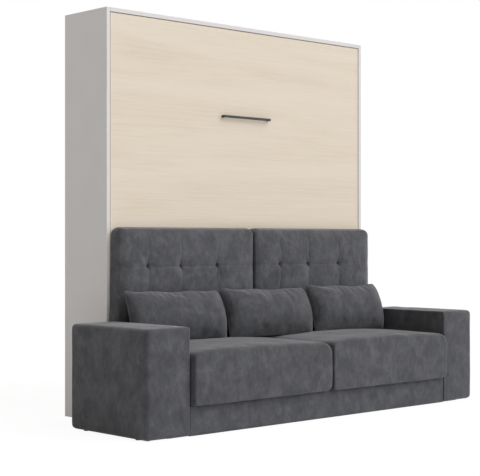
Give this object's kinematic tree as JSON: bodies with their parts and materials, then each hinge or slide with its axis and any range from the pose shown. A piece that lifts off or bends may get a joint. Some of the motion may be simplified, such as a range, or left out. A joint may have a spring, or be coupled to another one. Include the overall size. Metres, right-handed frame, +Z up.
{
  "type": "wall bed with sofa",
  "caption": "Shallow wall cabinet whose front tips down as a double bed, with gas struts and a folding foot, behind an upholstered sofa with loose tufted back cushions.",
  "frame": {"origin": "on the floor, in the middle of the whole part's footprint", "axes": "+X to the right of someone who faces the sofa, +Y into the cabinet towards the wall, +Z up"},
  "size_m": [2.508, 1.075, 2.178],
  "materials": {
    "white_board": "white melamine-faced board, satin",
    "pale_oak": "pale oak decor, matt, fine horizontal grain",
    "black_metal": "black powder coat",
    "grey_steel": "grey powder coat",
    "bright_steel": "zinc-plated steel",
    "beech": "laminated beech slats",
    "plywood": "raw plywood",
    "ticking": "quilted mattress ticking",
    "slate_velvet": "slate grey microfibre velvet with soft pile marks",
    "black_plastic": "moulded glide"
  },
  "bodies": {
    "root": {"cabinet_side_left": "white_board", "cabinet_side_right": "white_board", "cabinet_top": "white_board", "back_rail_upper": "white_board", "back_rail_lower": "white_board", "plinth": "white_board", "wall_bracket_left": "bright_steel", "wall_bracket_right": "bright_steel", "pivot_plate_left": "bright_steel", "pivot_plate_right": "bright_steel", "strut_bracket_left": "bright_steel", "strut_bracket_right": "bright_steel", "arm_cover_left": "slate_velvet", "arm_cover_right": "slate_velvet", "arm_frame_left": "plywood", "arm_frame_right": "plywood", "arm_glide_front_left": "black_plastic", "arm_glide_front_right": "black_plastic", "arm_glide_rear_left": "black_plastic", "arm_glide_rear_right": "black_plastic", "base_front": "slate_velvet", "base_side_left": "plywood", "base_side_right": "plywood", "base_rear": "plywood", "base_centre": "plywood", "seat_deck": "plywood", "base_glide_front": "black_plastic", "base_glide_rear": "black_plastic", "seat_cushion_left": "slate_velvet", "seat_cushion_right": "slate_velvet"},
    "bed": {"door_panel": "pale_oak", "door_handle": "black_metal", "frame_side_left": "grey_steel", "frame_side_right": "grey_steel", "frame_head_rail": "grey_steel", "frame_foot_rail": "grey_steel", "frame_centre_rail": "grey_steel", "slat_base_left": "beech", "slat_base_right": "beech", "mattress": "ticking", "pivot_block_left": "grey_steel", "pivot_block_right": "grey_steel", "pivot_pin_left": "bright_steel", "pivot_pin_right": "bright_steel", "strut_stud_left": "bright_steel", "strut_stud_right": "bright_steel", "foot_bracket_left": "grey_steel", "foot_bracket_right": "grey_steel"},
    "foot": {"foot_arm_left": "grey_steel", "foot_arm_right": "grey_steel", "foot_crossbar": "grey_steel"},
    "strut_body_left": {"strut_body_left": "black_metal"},
    "strut_body_right": {"strut_body_right": "black_metal"},
    "strut_rod_left": {"strut_rod_left": "bright_steel"},
    "strut_rod_right": {"strut_rod_right": "bright_steel"},
    "back_cushion_left": {"back_cushion_left": "slate_velvet"},
    "back_cushion_right": {"back_cushion_right": "slate_velvet"},
    "pillow_left": {"pillow_left": "slate_velvet"},
    "pillow_middle": {"pillow_middle": "slate_velvet"},
    "pillow_right": {"pillow_right": "slate_velvet"}
  },
  "joints": [
    {"name": "bed_fold", "type": "hinge", "parent": "root", "child": "bed", "pos_m": [0, 0.1905, 0.47], "axis": [1, 0, 0], "range_deg": [0, 90]},
    {"name": "foot_fold", "type": "hinge", "parent": "bed", "child": "foot", "pos_m": [0, 0.2805, 2.10499], "axis": [1, 0, 0], "range_deg": [0, 251.44]},
    {"name": "strut_tilt_left", "type": "hinge", "parent": "root", "child": "strut_body_left", "pos_m": [-0.947, 0.4125, 0.95], "axis": [1, 0, 0], "range_deg": [0, 19.91]},
    {"name": "strut_tilt_right", "type": "hinge", "parent": "root", "child": "strut_body_right", "pos_m": [0.947, 0.4125, 0.95], "axis": [1, 0, 0], "range_deg": [0, 19.91]},
    {"name": "strut_stroke_left", "type": "slide", "parent": "strut_body_left", "child": "strut_rod_left", "axis": [0, 0.2846, 0.9587], "range_m": [0, 0.28596]},
    {"name": "strut_stroke_right", "type": "slide", "parent": "strut_body_right", "child": "strut_rod_right", "axis": [0, 0.2846, 0.9587], "range_m": [0, 0.28596]},
    {"name": "back_cushion_left_lift", "type": "slide", "parent": "bed", "child": "back_cushion_left", "axis": [0, -0.0785, 0.9969], "range_m": [0, 1.0211]},
    {"name": "back_cushion_right_lift", "type": "slide", "parent": "bed", "child": "back_cushion_right", "axis": [0, -0.0785, 0.9969], "range_m": [0, 1.0211]},
    {"name": "pillow_left_lift", "type": "slide", "parent": "bed", "child": "pillow_left", "axis": [0, -0.0785, 0.9969], "range_m": [0, 1.0211]},
    {"name": "pillow_middle_lift", "type": "slide", "parent": "bed", "child": "pillow_middle", "axis": [0, -0.0785, 0.9969], "range_m": [0, 1.0211]},
    {"name": "pillow_right_lift", "type": "slide", "parent": "bed", "child": "pillow_right", "axis": [0, -0.0785, 0.9969], "range_m": [0, 1.0211]}
  ],
  "couplings": [
    {"joint": "foot_fold", "follows": "bed_fold", "ratio": 2.7937},
    {"joint": "strut_tilt_left", "follows": "bed_fold", "ratio": 0.22121},
    {"joint": "strut_tilt_right", "follows": "bed_fold", "ratio": 0.22121},
    {"joint": "strut_stroke_left", "follows": "bed_fold", "m_per_rad": 0.18205},
    {"joint": "strut_stroke_right", "follows": "bed_fold", "m_per_rad": 0.18205},
    {"joint": "back_cushion_left_lift", "follows": "bed_fold", "m_per_rad": 0.65},
    {"joint": "back_cushion_right_lift", "follows": "bed_fold", "m_per_rad": 0.65},
    {"joint": "pillow_left_lift", "follows": "bed_fold", "m_per_rad": 0.65},
    {"joint": "pillow_middle_lift", "follows": "bed_fold", "m_per_rad": 0.65},
    {"joint": "pillow_right_lift", "follows": "bed_fold", "m_per_rad": 0.65}
  ]
}
